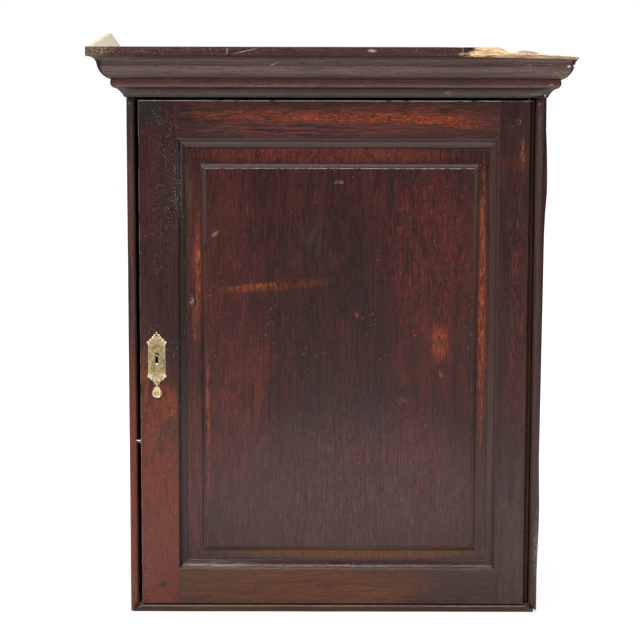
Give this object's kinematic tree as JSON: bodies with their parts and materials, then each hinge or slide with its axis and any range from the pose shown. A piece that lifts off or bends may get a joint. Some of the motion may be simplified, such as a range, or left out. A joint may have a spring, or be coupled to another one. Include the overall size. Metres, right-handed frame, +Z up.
{
  "type": "hanging wall cupboard",
  "caption": "Oak hanging wall cupboard with a moulded cornice, a shelved interior and one raised and fielded panel door hung on iron pins, with a box lock and a brass drop.",
  "frame": {"origin": "on the underside, at the centre of the carcass from left to right, half way from the front of the cornice to the wall", "axes": "+X to the viewer's right, +Y from the front to the wall, +Z up"},
  "size_m": [0.7557, 0.414, 0.906],
  "materials": {
    "carcass_oak": "old dark stain and wax, satin, rough-sawn outside",
    "inner_oak": "bare aged oak, dry",
    "cornice_oak": "dark stain and wax, worn, dusty on the upper faces",
    "door_oak": "red-brown stain under wax polish, satin, rubbed through to orange on the high places",
    "peg_oak": "end grain, stained with the door",
    "pine": "bare pine with old glue",
    "iron": "forged iron, dark oxide",
    "bright_iron": "filed iron, rubbed bright",
    "plate_brass": "cast brass, olive tarnish, bright on the rims",
    "drop_brass": "cast brass, rubbed pale by use"
  },
  "bodies": {
    "carcass": {"left_side": "carcass_oak", "right_side": "carcass_oak", "top_board": "inner_oak", "bottom_board": "inner_oak", "back_board_1": "inner_oak", "back_board_2": "inner_oak", "back_board_3": "inner_oak", "back_board_4": "inner_oak", "hanging_rail": "inner_oak", "upper_shelf": "inner_oak", "lower_shelf": "inner_oak", "upper_left_bearer": "inner_oak", "upper_right_bearer": "inner_oak", "lower_left_bearer": "inner_oak", "lower_right_bearer": "inner_oak", "left_bead": "cornice_oak", "right_bead": "cornice_oak", "bottom_bead": "cornice_oak", "cornice_front": "cornice_oak", "cornice_left_return": "cornice_oak", "front_glue_blocks": "pine", "left_glue_blocks": "pine", "top_nails": "iron", "base_nails": "iron", "back_nails": "iron", "bearer_nails": "iron", "rail_nails": "iron", "lower_pivot_pin": "iron", "upper_pivot_pin": "iron", "pivot_washer": "iron", "door_stop_pin": "bright_iron"},
    "door": {"lock_stile": "door_oak", "pin_stile": "door_oak", "top_rail": "door_oak", "bottom_rail": "door_oak", "door_panel": "door_oak", "door_pegs": "peg_oak", "lock_backplate": "iron", "lock_case": "iron", "key_pin": "bright_iron", "lock_screws": "iron", "escutcheon": "plate_brass", "escutcheon_pins": "plate_brass"},
    "bolt": {"lock_bolt": "bright_iron"},
    "drop": {"drop_handle": "drop_brass"}
  },
  "joints": [
    {"name": "door_hinge", "type": "hinge", "parent": "carcass", "child": "door", "pos_m": [0.301, -0.1365, 0.417], "axis": [0, 0, 1], "range_deg": [0, 95]},
    {"name": "bolt_slide", "type": "slide", "parent": "door", "child": "bolt", "axis": [-1, 0, 0], "range_m": [0, 0.0125]},
    {"name": "drop_swing", "type": "hinge", "parent": "door", "child": "drop", "pos_m": [-0.2805, -0.1474, 0.371], "axis": [-1, 0, 0], "range_deg": [0, 80]}
  ]
}
